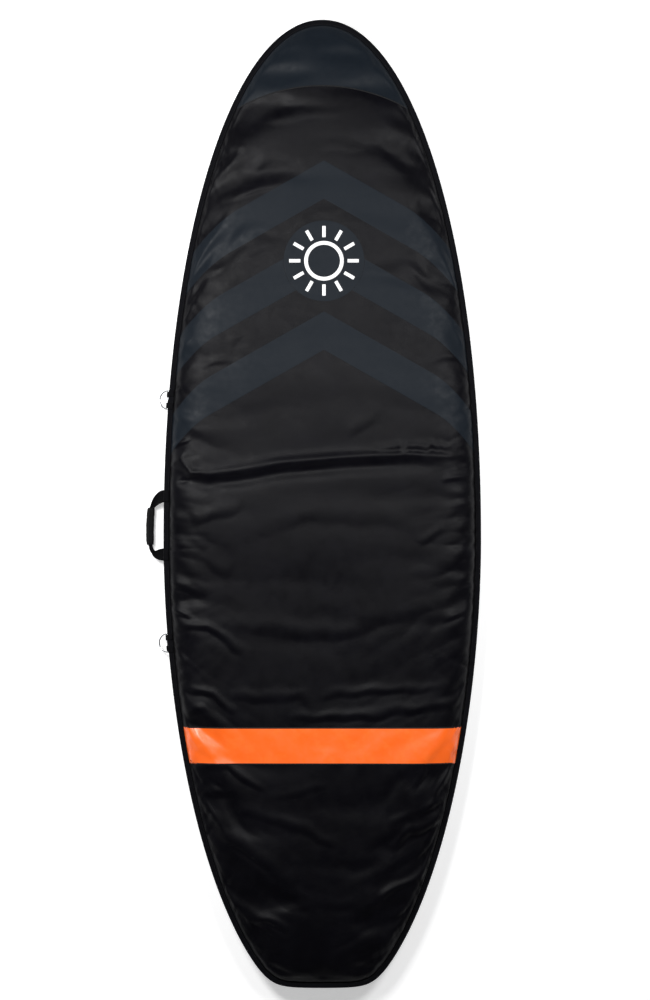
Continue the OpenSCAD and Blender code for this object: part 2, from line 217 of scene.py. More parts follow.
def finish_piece(obj, body, material, replaced=()):
    obj.data.materials.clear()
    obj.data.materials.append(material)
    if body:
        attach(obj, body)
    if replaced:
        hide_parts(*replaced)
    return obj


def thicken(obj, thickness, offset=1.0):
    mod = obj.modifiers.new("thickness", "SOLIDIFY")
    mod.thickness = thickness
    mod.offset = offset
    return obj


def half_mesh(name, points, faces, below):
    """A mesh of the upper half, or its mirror image on the lower half."""
    obj = mesh_object(name, points, faces)
    if below:
        flip_over(obj)
    return obj


def flip_over(obj):
    for v in obj.data.vertices:
        v.co.z = 2 * MID_Z - v.co.z
    obj.data.flip_normals()


def grid_normals(p):
    n = np.cross(np.gradient(p, axis=0), np.gradient(p, axis=1))
    return n / np.maximum(np.linalg.norm(n, axis=-1, keepdims=True), 1e-12)


# ---- Materials ----

class Nodes:
    """A short way to write a node tree."""

    def __init__(self, name):
        self.material = bpy.data.materials.new(name)
        self.material.use_nodes = True
        self.tree = self.material.node_tree
        self.shader = self.tree.nodes["Principled BSDF"]
        self.coords = self.tree.nodes.new("ShaderNodeTexCoord").outputs["Object"]

    def add(self, kind, inputs=None, **settings):
        node = self.tree.nodes.new("ShaderNode" + kind)
        for key, value in settings.items():
            setattr(node, key, value)
        for key, value in (inputs or {}).items():
            self.put(node.inputs[key], value)
        return node

    def put(self, socket, value):
        if isinstance(value, bpy.types.NodeSocket):
            self.tree.links.new(value, socket)
        else:
            socket.default_value = value

    def set(self, **values):
        for key, value in values.items():
            self.put(self.shader.inputs[key.replace("_", " ")], value)

    def noise(self, scale, detail=3.0, rough=0.5):
        return self.add("TexNoise", {"Vector": self.coords, "Scale": scale, "Detail": detail,
                                     "Roughness": rough}).outputs["Fac"]

    def math(self, operation, a, b=0.0):
        return self.add("Math", {0: a, 1: b}, operation=operation).outputs[0]

    def ramp(self, fac, low, high, start=0.0, end=1.0):
        """Maps a factor from start..end to low..high."""
        limits = {"From Min": start, "From Max": end, "To Min": low, "To Max": high}
        return self.add("MapRange", {"Value": fac, **limits}).outputs["Result"]

    def blend(self, fac, a, b):
        node = self.add("Mix", data_type="RGBA")
        self.put(node.inputs[0], fac)
        self.put(node.inputs[6], (*a, 1) if isinstance(a, tuple) else a)
        self.put(node.inputs[7], (*b, 1) if isinstance(b, tuple) else b)
        return node.outputs[2]

    def bump(self, height, distance, strength=1.0, below=None):
        inputs = {"Height": height, "Distance": distance, "Strength": strength}
        if below is not None:
            inputs["Normal"] = below
        return self.add("Bump", inputs).outputs["Normal"]

    def stripes(self, pitch, direction):
        """Ridges with the given pitch, 0 to 1."""
        return self.add("TexWave", {"Vector": self.coords, "Scale": 0.314159 / pitch},
                        wave_type="BANDS", bands_direction=direction).outputs["Fac"]

    def weave(self, pitch):
        """A plain weave: warp on top in one cell, weft on top in the next."""
        cell = self.add("TexChecker", {"Vector": self.coords, "Scale": 1 / pitch}).outputs["Fac"]
        warp = self.math("MULTIPLY", self.stripes(pitch, "X"), cell)
        weft = self.math("MULTIPLY", self.stripes(pitch, "Y"), self.math("SUBTRACT", 1.0, cell))
        return self.math("MAXIMUM", warp, weft)


def cloth_material(name, colour, worn, rough, pitch, relief, specular, sheen):
    """Woven cloth, with a faint dusting of the worn colour and shallow unevenness."""
    n = Nodes(name)
    dusty = n.ramp(n.noise(9.0, 6.0, 0.65), 0.0, 1.0, 0.42, 0.75)
    n.set(Base_Color=n.blend(dusty, colour, worn))
    n.set(Roughness=n.ramp(n.noise(35.0, 4.0), rough - 0.05, rough + 0.07, 0.3, 0.7))
    uneven = n.bump(n.noise(48.0, 5.0, 0.6), 0.0008, 0.35)
    n.set(Normal=n.bump(n.weave(pitch), relief, 0.5, below=uneven))
    n.set(Specular_IOR_Level=specular, Sheen_Weight=sheen, Sheen_Roughness=0.45)
    return n.material


def film_material(name, colour, worn, rough, specular, coat=0.0):
    """Pressed film: smooth, with faint scuffs and the cloth's weave showing through."""
    n = Nodes(name)
    scuffed = n.ramp(n.noise(22.0, 8.0, 0.7), 0.0, 1.0, 0.50, 0.80)
    n.set(Base_Color=n.blend(scuffed, colour, worn))
    n.set(Roughness=n.ramp(n.noise(60.0, 5.0), rough - 0.06, rough + 0.08, 0.3, 0.7))
    soft = n.bump(n.noise(30.0, 4.0), 0.0006, 0.3)
    n.set(Normal=n.bump(n.weave(0.0016), 0.00006, 0.4, below=soft))
    n.set(Specular_IOR_Level=specular, Coat_Weight=coat, Coat_Roughness=0.35)
    return n.material


def ribbed_material(name, colour, pitch, direction, rough=0.75):
    """Binding tape and webbing: close ribs across the length, with a painted highlight that lightens the
    rib crests.
    """
    n = Nodes(name)
    ribs = n.stripes(pitch, direction)
    fuzz = n.noise(400.0, 2.0)
    # painted highlight: the rib crests, broken up by random fuzz, are painted up to 2.2 times lighter than
    # the tape's own colour
    light = tuple(2.2 * c for c in colour)
    n.set(Base_Color=n.blend(n.math("MULTIPLY", ribs, fuzz), colour, light))
    n.set(Roughness=n.ramp(fuzz, rough - 0.08, rough + 0.08, 0.3, 0.7))
    n.set(Normal=n.bump(ribs, 0.0002, 0.5, below=n.bump(fuzz, 0.0002, 0.4)))
    n.set(Specular_IOR_Level=0.05, Sheen_Weight=0.01, Sheen_Roughness=0.5)
    return n.material


def metal_material(name, colour, rough):
    n = Nodes(name)
    n.set(Base_Color=n.blend(n.noise(300.0, 4.0), colour, tuple(0.8 * c for c in colour)))
    n.set(Roughness=n.ramp(n.noise(180.0, 5.0, 0.6), rough * 0.7, rough * 1.5, 0.3, 0.7))
    n.set(Normal=n.bump(n.noise(900.0, 2.0), 0.00005, 0.3), Metallic=1.0)
    return n.material


def plain_material(name, colour, rough, grain=0.0001):
    """Moulded plastic, rubber or foam with a fine grain."""
    n = Nodes(name)
    n.set(Base_Color=n.blend(n.noise(250.0, 4.0), colour, tuple(1.6 * c for c in colour)))
    n.set(Roughness=n.ramp(n.noise(120.0, 3.0), rough - 0.06, rough + 0.06, 0.3, 0.7))
    n.set(Normal=n.bump(n.noise(1400.0, 2.0), grain, 0.5), Specular_IOR_Level=0.3)
    return n.material


BLACK_CLOTH = cloth_material("black_polyester", (0.0015, 0.0014, 0.0024), (0.0028, 0.0027, 0.0042),
                             rough=0.40, pitch=0.0010, relief=0.00009, specular=0.078, sheen=0.01)
LINING_CLOTH = cloth_material("lining", (0.030, 0.031, 0.034), (0.045, 0.046, 0.050),
                              rough=0.45, pitch=0.0008, relief=0.00008, specular=0.30, sheen=0.05)
GRIP_CLOTH = cloth_material("grip_wrap", (0.0016, 0.0016, 0.0020), (0.0030, 0.0030, 0.0036),
                            rough=0.6, pitch=0.0012, relief=0.0002, specular=0.08, sheen=0.01)
SLATE = film_material("slate_film", (0.0062, 0.0088, 0.0126), (0.0070, 0.0098, 0.0138),
                      rough=0.46, specular=0.080)
WHITE = film_material("white_film", (0.86, 0.86, 0.86), (0.80, 0.80, 0.80), rough=0.5, specular=0.3)
ORANGE = film_material("orange_film", (0.95, 0.135, 0.010), (0.97, 0.17, 0.022),
                       rough=0.36, specular=0.45, coat=0.30)
BINDING = ribbed_material("binding_tape", (0.0018, 0.0018, 0.0026), pitch=0.0014, direction="Y")
WEBBING = ribbed_material("webbing", (0.0014, 0.0014, 0.0019), pitch=0.0020, direction="Y")
TAPE = ribbed_material("zip_tape", (0.0055, 0.0055, 0.0062), pitch=0.0016, direction="Z")
THREAD = plain_material("thread", (0.0030, 0.0030, 0.0035), rough=0.8)
COIL = plain_material("zip_coil", (0.010, 0.010, 0.011), rough=0.4)
RUBBER = plain_material("pull_rubber", (0.010, 0.010, 0.011), rough=0.6)
STEEL = metal_material("ring_steel", (0.62, 0.63, 0.65), rough=0.16)
NICKEL = metal_material("zip_nickel", (0.20, 0.20, 0.215), rough=0.30)


# ---- Camera, light and floor ----

VIEW_LENGTH = 2.937
LENS, SENSOR = 120.0, 36.0
CAMERA_X, CAMERA_Y = 0.008, 0.012
CAMERA_SEES = 100.0
FOCUS_SHARE = 0.75
LIGHT_TARGET, LIGHT_SIZE = (0.0, 0.2, 0.0), (0.8, 1.2)
FLOOR_HALF, FLOOR_Z = 40.0, -0.0006
WALL_SIDES, WALL_RADIUS, WALL_HEIGHT = 72, 38.0, 9.0


def make_camera():
    camera = linked(bpy.data.objects.new("camera", bpy.data.cameras.new("camera")))
    camera.data.lens = LENS
    camera.data.sensor_width = SENSOR
    camera.data.clip_end = CAMERA_SEES
    camera.location = (CAMERA_X, CAMERA_Y, FOCUS_SHARE * CROWN + VIEW_LENGTH * LENS / SENSOR)
    bpy.context.scene.camera = camera


def area_light(name, place, watts):
    light = linked(bpy.data.objects.new(name, bpy.data.lights.new(name, "AREA")))
    light.data.shape = "RECTANGLE"
    light.data.size, light.data.size_y = LIGHT_SIZE
    light.data.energy = watts
    light.location = place
    direction = Vector(LIGHT_TARGET) - Vector(place)
    light.rotation_euler = direction.to_track_quat("-Z", "Y").to_euler()


def make_studio():
    """Two soft boxes above the nose half, over a pale paper floor with a far paper wall."""
    area_light("left", place=(-1.2, 0.9, 2.6), watts=92.0)
    area_light("right", place=(1.2, 0.8, 2.6), watts=56.0)
    corners = [(x * FLOOR_HALF, y * FLOOR_HALF, FLOOR_Z) for x, y in ((-1, -1), (1, -1), (1, 1), (-1, 1))]
    floor = mesh_object("floor", corners, [(0, 1, 2, 3)], smooth=False)
    paper = Nodes("paper")
    paper.set(Base_Color=(0.90, 0.90, 0.90, 1), Roughness=0.9, Specular_IOR_Level=0.1)
    paper.set(Emission_Color=(1.0, 1.0, 1.0, 1), Emission_Strength=0.45)
    turns = np.linspace(0, 2 * np.pi, WALL_SIDES, endpoint=False)
    foot = np.column_stack([WALL_RADIUS * np.cos(turns), WALL_RADIUS * np.sin(turns), 0 * turns])
    wall = mesh_object("wall", np.vstack([foot, foot + (0, 0, WALL_HEIGHT)]),
                       tube_faces(2, WALL_SIDES)[:WALL_SIDES])
    for obj in (floor, wall):
        obj.data.materials.append(paper.material)
    world = bpy.data.worlds.new("studio")
    world.use_nodes = True
    sky = world.node_tree.nodes["Background"].inputs
    sky["Color"].default_value = (0.93, 0.95, 1.0, 1)
    sky["Strength"].default_value = 0.06
    bpy.context.scene.world = world
    bpy.context.scene.view_settings.view_transform = "Standard"


# ---- The padded panels ----

FINE = (148, 528)
COARSE = (74, 264)
SIM_FRAMES = 20

# Creases pressed into the top by folding, in millimetres: each one's half width and height, then
# the places along its route. The cloth steps down towards the tail along each.
CREASES = [
    (11, 6.5, (-310, 865), (-240, 900), (-110, 930)),
    (17, 4, (-200, 1110), (-60, 1120), (70, 1130)),
    (10, 3, (-220, 1165), (-120, 1190)),
    (17, 5, (-10, 1033), (140, 1035), (230, 1025), (267, 975)),
    (8, 4, (-290, 1022), (-220, 1033)),
    (12, 3, (-270, 975), (-150, 976)),
    (12, 3, (-70, 805), (0, 840), (70, 845)),
    (14, 3.2, (-250, 715), (-110, 745)),
    (9, 4.5, (-350, 660), (-280, 685)),
    (12, 3, (235, 765), (285, 840)),
    (12, 3.5, (295, 670), (385, 635)),
    (11, 3, (-265, 455), (-230, 495)),
    (10, 3, (-350, 390), (-260, 418)),
    (10, 3.5, (315, 410), (415, 417)),
    (18, 2.2, (85, 190), (185, 270)),
    (7, 6, (-445, 160), (-385, 178)),
    (9, 6, (-430, 64), (-355, 78)),
    (8, 5, (350, 62), (440, 75)),
    (16, 4.5, (-385, -65), (-300, -40), (-225, -18)),
    (26, 1.8, (-250, -125), (-60, -60), (180, -57), (300, -118)),
    (18, 3, (-360, -160), (-280, -230)),
    (12, 3, (290, -120), (370, -80)),
    (24, 3.2, (-300, -360), (-190, -385), (40, -405), (165, -365), (325, -305)),
    (9, 5, (-440, -320), (-380, -345)),
    (11, 6, (-425, -370), (-340, -372), (-235, -442)),
    (10, 4, (345, -350), (430, -320)),
    (10, 8, (-410, -550), (-320, -562), (-265, -628)),
    (15, 4.5, (-280, -583), (-60, -577), (-35, -620)),
    (12, 4.5, (0, -570), (90, -563), (350, -550)),
    (12, 7.5, (-100, -641), (130, -630), (320, -603), (410, -596)),
    (8, 6, (-400, -622), (-335, -608)),
    (10, 5, (-375, -790), (-280, -772), (-175, -855)),
    (9, 6, (-355, -853), (-255, -855)),
    (12, 1.8, (-150, -871), (20, -840)),
    (13, 4.5, (-250, -912), (-170, -923), (-75, -960), (45, -1010)),
    (17, 8, (-320, -975), (-215, -1030), (-95, -1135)),
    (12, 6, (-230, -1238), (-170, -1233), (-100, -1262)),
    (14, 8.5, (220, -1023), (262, -976), (340, -947)),
    (9, 5, (280, -1046), (327, -1012)),
    (12, 7.5, (180, -1168), (250, -1117), (305, -1092)),
    (9, 5, (210, -1210), (262, -1190)),
    (18, 2.2, (-200, -1190), (-90, -1180), (105, -1198), (180, -1180)),
    (9, 5, (280, -835), (320, -772)),
    (9, 5, (303, -900), (355, -870)),
    (13, 3.5, (205, -953), (268, -912)),
]
# The ridge across the bag at its fold line, which ends in a hook on the left.
RIDGE = [(-0.400, 0.160), (-0.412, 0.130), (-0.382, 0.092), (-0.330, 0.089), (-0.235, 0.102),
         (-0.125, 0.122), (0.067, 0.138), (0.260, 0.147), (0.390, 0.138)]
RIDGE_WIDTH, RIDGE_HEIGHT = 0.0075, 0.0105
# The cloth steps down behind the ridge: how far back, how high on the left, and how much less on
# the right.
RIDGE_STEP_BACK, RIDGE_STEP, RIDGE_STEP_LESS = 0.016, 0.0085, 0.004
# A short gathered crease in front of the ridge, on the right. Its scallops are turns and widths.
GATHER = [(0.150, 0.158), (0.385, 0.165)]
GATHER_WIDTH, GATHER_HEIGHT = 0.0085, 0.0034
GATHER_SCALLOPS = [(7.3, 0, 0.003), (4.1, 1, 0.003), (10, 0, 0.002)]


def along_route(x, y, route):
    """For each point: its signed distance from the route, plus to the nose, and how far along."""
    best = np.full(x.shape, 1e9)
    signed, place = np.zeros(x.shape), np.zeros(x.shape)
    lengths = [math.dist(p, q) for p, q in zip(route, route[1:])]
    done = 0.0
    for (p, q), length in zip(zip(route, route[1:]), lengths):
        d = (np.array(q) - p) / length
        t = np.clip((x - p[0]) * d[0] + (y - p[1]) * d[1], 0, length)
        off_x, off_y = x - p[0] - t * d[0], y - p[1] - t * d[1]
        gap = np.hypot(off_x, off_y)
        side = np.sign(-off_x * d[1] + off_y * d[0]) * (1 if d[0] >= 0 else -1)
        near = gap < best
        best = np.where(near, gap, best)
        signed = np.where(near, gap * side, signed)
        place = np.where(near, (done + t) / sum(lengths), place)
        done += length
    return signed, place


def ends_faded(place):
    return np.clip(np.sin(np.pi * np.clip(place, 0.002, 0.998)), 0, 1) ** 0.6


def crease(x, y, width, height, *route):
    """A sharp valley with a soft shoulder in front of it. Its sizes are in millimetres."""
    signed, place = along_route(x, y, np.array(route) / 1000)
    s = signed / (width / 1000)
    shoulder = 0.85 * np.exp(-((s - 1.2) / 1.2) ** 2)
    valley = 0.75 * np.exp(-np.sqrt(s * s + 0.06) / 0.6)
    return height / 1000 * (shoulder - valley) * ends_faded(place)


def ridge(x, y):
    signed, place = along_route(x, y, RIDGE)
    crest = RIDGE_HEIGHT * np.exp(-(signed / RIDGE_WIDTH) ** 2)
    behind = signed / RIDGE_STEP_BACK + 1
    step = (RIDGE_STEP - RIDGE_STEP_LESS * place) * behind * np.exp(0.5 - 0.5 * behind ** 2)
    return (crest + step) * ends_faded(place)


def gather(x, y):
    """Small scallops along a short crease."""
    signed, place = along_route(x, y, GATHER)
    for turns, phase, size in GATHER_SCALLOPS:
        signed = signed - size * np.sin(2 * np.pi * turns * place + phase)
    s = signed / GATHER_WIDTH
    return GATHER_HEIGHT * s * np.exp(0.5 - 0.5 * s * s) * ends_faded(place)


# Soft swells under the stripe: each a place, its half width and length, its turn and its height.
SWELLS = [
    (0.175, -0.700, 0.030, 0.075, -0.9, 0.0050), (0.300, -0.725, 0.040, 0.070, -0.6, 0.0035),
    (-0.120, -0.705, 0.028, 0.080, 0.8, 0.0032), (-0.330, -0.715, 0.022, 0.060, 0.7, 0.0030),
    (0.030, -0.735, 0.030, 0.070, -0.7, 0.0026),
]


def swells(x, y):
    total = 0
    for mid_x, mid_y, wide, long, turn, height in SWELLS:
        u = (x - mid_x) * math.cos(turn) + (y - mid_y) * math.sin(turn)
        v = (y - mid_y) * math.cos(turn) - (x - mid_x) * math.sin(turn)
        total += height * np.exp(-(u / wide) ** 2 - (v / long) ** 2)
    return total


def waves(x, y, count, shortest, longest, rng):
    """Gentle unevenness: a sum of sine waves in random directions, about 1 at its highest."""
    total = np.zeros(x.shape)
    for _ in range(count):
        turn, phase = rng.uniform(0, np.pi), rng.uniform(0, 2 * np.pi)
        k = 2 * np.pi / rng.uniform(shortest, longest)
        total += np.sin(k * (x * np.cos(turn) + y * np.sin(turn)) + phase)
    return total / math.sqrt(2 * count)


# Folds that run in from the seam: their shortest and longest spacing, how far they reach in, their size.
FOLDS = [(0.09, 0.20, 0.17, 1.0), (0.04, 0.09, 0.085, 0.55)]
# Gathers at the seam: their pitch, how far they reach in, their size.
PUCKERS = [(0.034, 0.028, 1.0), (0.061, 0.055, 0.9)]
PUCKER_PATCH = 0.21


def folds(x, y, rng):
    """Slanting folds that run in from the seam, with sharp valleys between soft swells."""
    d = np.clip(half_width_at(y) - np.abs(x), 0, None)
    lean = 0.75 * np.clip((0.35 - y) / 0.9, -0.4, 1)
    along = y + lean * d + 0.012 * waves(x, y, 8, 0.10, 0.30, rng)
    total = 0
    for shortest, longest, reach, size in FOLDS:
        for side in (-1, 1):
            w = waves(along, 0.30 * d + 5 * side, 10, shortest, longest, rng)
            swell = np.sqrt(w * w + 0.02)
            patchy = np.clip(0.55 + 0.7 * waves(x, y, 6, 0.35, 0.9, rng), 0.05, 1.3)
            total += np.where(side * x > 0, size * swell * patchy * np.exp(-d / reach), 0)
    return total * np.clip((1.18 - y) / 0.2, 0, 1) * np.clip(np.abs(x) / 0.05, 0, 1)


def puckers(rho, a, rng):
    """Gathers at the seam: short swells along the edge with slits between them."""
    e = INNER_HALF * (1 - rho) * (1 + 1.3 * np.abs(np.sin(a)) ** 3)
    s = length_at(a)
    ends = 0.25 + 0.75 * np.clip(1.6 * np.abs(np.cos(a)), 0, 1)
    total = 0
    once_round = 2 * np.pi * s / PERIMETER
    for pitch, reach, size in PUCKERS:
        phase = sum(rng.uniform(0.5, 1.2) * np.sin(k * once_round + rng.uniform(0, 6.3))
                    for k in (7, 17, 29))
        turns = round(PERIMETER / pitch)
        swell = np.abs(np.sin(turns / 2 * once_round + phase + rng.uniform(-6, 6) * e)) ** 0.5
        uneven = 0.65 + 0.35 * np.sin(round(PERIMETER / PUCKER_PATCH) * once_round + 2 * phase)
        total += size * (swell - 0.7) * uneven * np.exp(-e / (reach * (0.6 + 0.6 * uneven)))
    return total * ends * np.clip(e / 0.004, 0, 1)


# The simulated cloth's uneven start, its sewn rim and the farthest that it may move. It is a little
# larger than its frame, by the share shrink_min.
START_WAVES, SEWN_RIM, FARTHEST = 0.0006, 0.985, 0.006
CLOTH = dict(quality=5, mass=0.25, tension_stiffness=20, compression_stiffness=20, shear_stiffness=8,
             bending_stiffness=0.6, vertex_group_mass="pin", shrink_min=-0.012, use_pressure=True,
             uniform_pressure_force=0.15)


def pressed_cloth(points, rho):
    """How far the cloth moves when it is a little larger than its frame: simulated on a grid."""
    n, m = rho.shape
    uneven = waves(points[..., 0], points[..., 1], 14, 0.05, 0.2, RNG)
    start = points + grid_normals(points) * START_WAVES * uneven[..., None]
    obj = mesh_object("sim", start, grid_faces(n, m))
    pin = obj.vertex_groups.new(name="pin")
    pin.add([int(i) for i in np.flatnonzero(rho.ravel() > SEWN_RIM)], 1.0, "REPLACE")
    cloth = obj.modifiers.new("cloth", "CLOTH")
    for key, value in CLOTH.items():
        setattr(cloth.settings, key, value)
    cloth.settings.effector_weights.gravity = 0
    cloth.point_cache.frame_start, cloth.point_cache.frame_end = 1, SIM_FRAMES
    for f in range(1, SIM_FRAMES + 1):
        bpy.context.scene.frame_set(f)
    made = obj.evaluated_get(bpy.context.evaluated_depsgraph_get()).to_mesh()
    end = np.empty(n * m * 3, np.float32)
    made.vertices.foreach_get("co", end)
    bpy.data.objects.remove(obj)
    bpy.context.scene.frame_set(1)
    moved = np.sum((end.reshape(n, m, 3) - points) * grid_normals(points), -1)
    return FARTHEST * np.tanh(moved / FARTHEST)


def finer(values):
    """A coarse grid's values on the fine grid, which has a point midway between each two."""
    for axis in (0, 1):
        values = np.moveaxis(values, axis, 0)
        between = (values[:-1] + values[1:]) / 2
        out = np.empty((2 * len(values) - 1, *values.shape[1:]))
        out[::2], out[1::2] = values, between
        values = np.moveaxis(out, 0, axis)
    return values


def smoothed(values):
    for axis in (0, 1):
        v = np.moveaxis(values, axis, 0)
        out = v.copy()
        out[1:-1] = (v[:-2] + 2 * v[1:-1] + v[2:]) / 4
        values = np.moveaxis(out, 0, axis)
    return values


CREASE_BEND, WAVE_HEIGHT, FOLD_HEIGHT = 0.006, 0.0022, 0.0095
PUCKER_HEIGHT, NOSE_PUCKER_HEIGHT = 0.0050, 0.0022
BOTTOM_WAVE_HEIGHT, BOTTOM_PUCKER_HEIGHT = 0.0012, 0.0026
RELIEF_FADES, SWELL_FADES = 0.02, 0.012
# The highest crests are pressed down from the first height, and none passes the second.
CREST_FROM, CREST_TOP = 0.1235, 0.1335
CLEAR_OF_FLOOR = 0.0002


def near_seam(rho, reach):
    """0 at the seam along the flange, and 1 from reach inwards."""
    return np.clip((1 - rho) * INNER_HALF / reach, 0, 1)


def top_relief(points, rho, a):
    """The folds of the top, calmer towards the nose and under its smooth film."""
    x, y = points[..., 0], points[..., 1]
    bent_x = x + CREASE_BEND * waves(x, y, 8, 0.07, 0.2, RNG)
    bent_y = y + CREASE_BEND * waves(x, y, 8, 0.07, 0.2, RNG)
    h = sum(crease(bent_x, bent_y, *c) for c in CREASES) + ridge(x, y) + gather(x, y)
    h += swells(x, y)
    h += WAVE_HEIGHT * waves(x, y, 12, 0.16, 0.5, RNG) + FOLD_HEIGHT * folds(x, y, RNG)
    calm = 1 - 0.5 * np.clip((y - 0.35) / 0.25, 0, 1) - 0.35 * np.clip((y - 1.10) / 0.10, 0, 1)
    edge = NOSE_PUCKER_HEIGHT + (PUCKER_HEIGHT - NOSE_PUCKER_HEIGHT) * calm
    return h * calm * near_seam(rho, RELIEF_FADES) + edge * puckers(rho, a, RNG)


def bottom_relief(points, rho, a):
    h = BOTTOM_WAVE_HEIGHT * waves(points[..., 0], points[..., 1], 12, 0.12, 0.4, RNG)
    return h * near_seam(rho, RELIEF_FADES) + BOTTOM_PUCKER_HEIGHT * puckers(rho, a, RNG)


def lowered(z):
    """Heights with the highest crests pressed down, so that the bag keeps its stated thickness."""
    room = CREST_TOP - CREST_FROM
    return np.where(z > CREST_FROM, CREST_FROM + room * np.tanh((z - CREST_FROM) / room), z)


def padded_panel(name, relief, below):
    """The outer cloth with its foam: a fine outer face over a plain inner one."""
    rho, a = disc_grid(*FINE)
    outer = surface(rho, a)
    rho_c, a_c = disc_grid(*COARSE)
    moved = np.zeros(rho.shape)
    moved = finer(smoothed(pressed_cloth(surface(rho_c, a_c), rho_c)))
    height = relief(outer, rho, a) + moved * near_seam(rho, SWELL_FADES)
    if below:
        height = np.minimum(height, np.where(rho < 1 - RAIL / INNER_HALF, -CLEAR_OF_FLOOR, height))
    outer = outer + grid_normals(outer) * height[..., None]
    outer[..., 2] = np.minimum(outer[..., 2], CROWN) if below else lowered(outer[..., 2])
    inner = surface(rho_c, a_c, BACK_DEPTH - LINING_THICK)
    n, m = rho.shape
    p, q = rho_c.shape
    points = np.concatenate([outer.reshape(-1, 3), inner.reshape(-1, 3)])
    faces = grid_faces(n, m) + grid_faces(p, q, n * m, flip=True)
    rim, rim_c = rim_of(n, m), rim_of(p, q) + n * m
    for i in range(len(rim_c)):
        j = (i + 1) % len(rim_c)
        f0, f1, f2 = rim[2 * i], rim[2 * i + 1], rim[(2 * i + 2) % len(rim)]
        faces += [[f1, f0, rim_c[i]], [f1, rim_c[i], rim_c[j]], [f2, f1, rim_c[j]]]
    return half_mesh(name, points, [[int(i) for i in f] for f in faces], below), outer


LINING_SLACK, LINING_INSET = 0.0010, 0.0015


def lining_sheet(name, below):
    """The lining: a smooth cloth under the padding, out to the flange's edge."""
    rho, a = disc_grid(*COARSE)
    points = surface(rho, a, BACK_DEPTH - LINING_THICK / 2)
    slack = 0.5 + 0.5 * waves(points[..., 0], points[..., 1], 12, 0.08, 0.3, RNG)
    points[..., 2] -= LINING_SLACK * slack * np.clip((1 - rho) * 12, 0, 1)
    n, m = rho.shape
    rings = [points.reshape(-1, 3)]
    rim = rim_of(n, m)
    rings.append(edge_row(a.ravel()[rim], LINING_INSET, LINING_LOW.z + LINING_THICK / 2))
    faces = grid_faces(n, m)
    first = n * m
    for i in range(len(rim)):
        j = (i + 1) % len(rim)
        faces.append([int(rim[i]), first + i, first + j, int(rim[j])])
    return thicken(half_mesh(name, np.concatenate(rings), faces, below), LINING_THICK, 0.0)


# ---- Films, cut from the top panel's own face ----

def cut(bm, field):
    """Splits the faces where field(x, y) is zero and deletes those where it is below zero."""
    values = {v: field(v.co.x, v.co.y) for v in bm.verts}
    crossing = [e for e in bm.edges if values[e.verts[0]] * values[e.verts[1]] < 0]
    new = set()
    for e in crossing:
        a, b = e.verts
        t = values[a] / (values[a] - values[b])
        made = bmesh.utils.edge_split(e, a, t)[1]
        values[made] = 0.0
        new.add(made)
    for f in list(bm.faces):
        ring = [v for v in f.verts if values[v] == 0.0]
        if len(ring) >= 2 and len(f.verts) > 3:
            for i, v in enumerate(ring):
                apart = (w for w in ring[i + 1:] if not any(w in e.verts for e in v.link_edges))
                w = next(apart, None)
                if w is not None and v in f.verts and w in f.verts:
                    bmesh.utils.face_split(f, v, w)
                    break
    outside = [f for f in bm.faces if sum(values[v] for v in f.verts) < 0]
    bmesh.ops.delete(bm, geom=outside, context="FACES")


FILM_LIFT, FILM_THICK = 0.0002, 0.0003
FILM_REACH = 0.012


def film(name, outer, fields):
    """A film panel: the part of the outer face where every field is above zero, lifted a little."""
    near = np.ones(outer.shape[:2], bool)
    for field in fields:
        near &= field(outer[..., 0], outer[..., 1]) > -FILM_REACH
    keep = near[:-1, :-1] | near[1:, :-1] | near[1:, 1:] | near[:-1, 1:]
    n, m = near.shape
    faces = np.array(grid_faces(n, m)).reshape(n - 1, m - 1, 4)[keep]
    used, index = np.unique(faces, return_inverse=True)
    bm = bmesh.new()
    for p in outer.reshape(-1, 3)[used]:
        bm.verts.new(p)
    bm.verts.ensure_lookup_table()
    for f in index.reshape(-1, 4):
        bm.faces.new([bm.verts[int(i)] for i in f])
    for field in fields:
        cut(bm, field)
    bm.normal_update()
    for v in bm.verts:
        v.co += v.normal * FILM_LIFT
    mesh = mesh_from(bm, name)
    mesh.polygons.foreach_set("use_smooth", [True] * len(mesh.polygons))
    obj = thicken(linked(bpy.data.objects.new(name, mesh)), FILM_THICK)
    obj.modifiers.new("normals", "WEIGHTED_NORMAL").weight = 100
    return obj


CHEVRON_SLOPE = 0.57
CHEVRON_BAND = 0.112
CHEVRON_Y, CHEVRON_PITCH = 1.006, 0.221
EMBLEM_Y = (EMBLEM_LOW.y + EMBLEM_HIGH.y) / 2
EMBLEM_R = (EMBLEM_HIGH.x - EMBLEM_LOW.x) / 2
STRIPE_LOW, STRIPE_HIGH = (corner.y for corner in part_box("accent_stripe"))
SEAM_Y, SEAM_R = 1.225, 0.525
SEAM_BEHIND = 1.08
EDGE_GAP, EMBLEM_GAP = 0.001, 0.0008
# Near the bag's edge the chevrons drop away, where the cloth turns down: from how far in, and how much.
EDGE_TURN, EDGE_DROP = 0.108, 0.048


def inside_edge(x, y):
    """Above zero inside the seam along the flange."""
    d = half_width_at(np.clip(y, WIDEST_Y - TAIL_LENGTH * 0.97, WIDEST_Y + NOSE_LENGTH * 0.999))
    return d - FLANGE - EDGE_GAP - np.abs(x)


def chevron_line(i):
    """The front edge of chevron i."""
    def field(x, y):
        d = np.abs(x - GRAPHIC_X)
        near_edge = np.clip((FLANGE + EDGE_TURN - (half_width_at(y) - np.abs(x))) / EDGE_TURN, 0, 1)
        return CHEVRON_Y - i * CHEVRON_PITCH - CHEVRON_SLOPE * d - EDGE_DROP * near_edge ** 2 - y
    return field


def chevron(name, i, outer, more=()):
    front = chevron_line(i)
    fields = [front, lambda x, y: CHEVRON_BAND - front(x, y), *more]
    sides = [lambda x, y: x - GRAPHIC_X, lambda x, y: GRAPHIC_X - x]
    return joined(name, [film(name + "_half", outer, [side, *fields]) for side in sides])


WELD_GAP = 0.00025


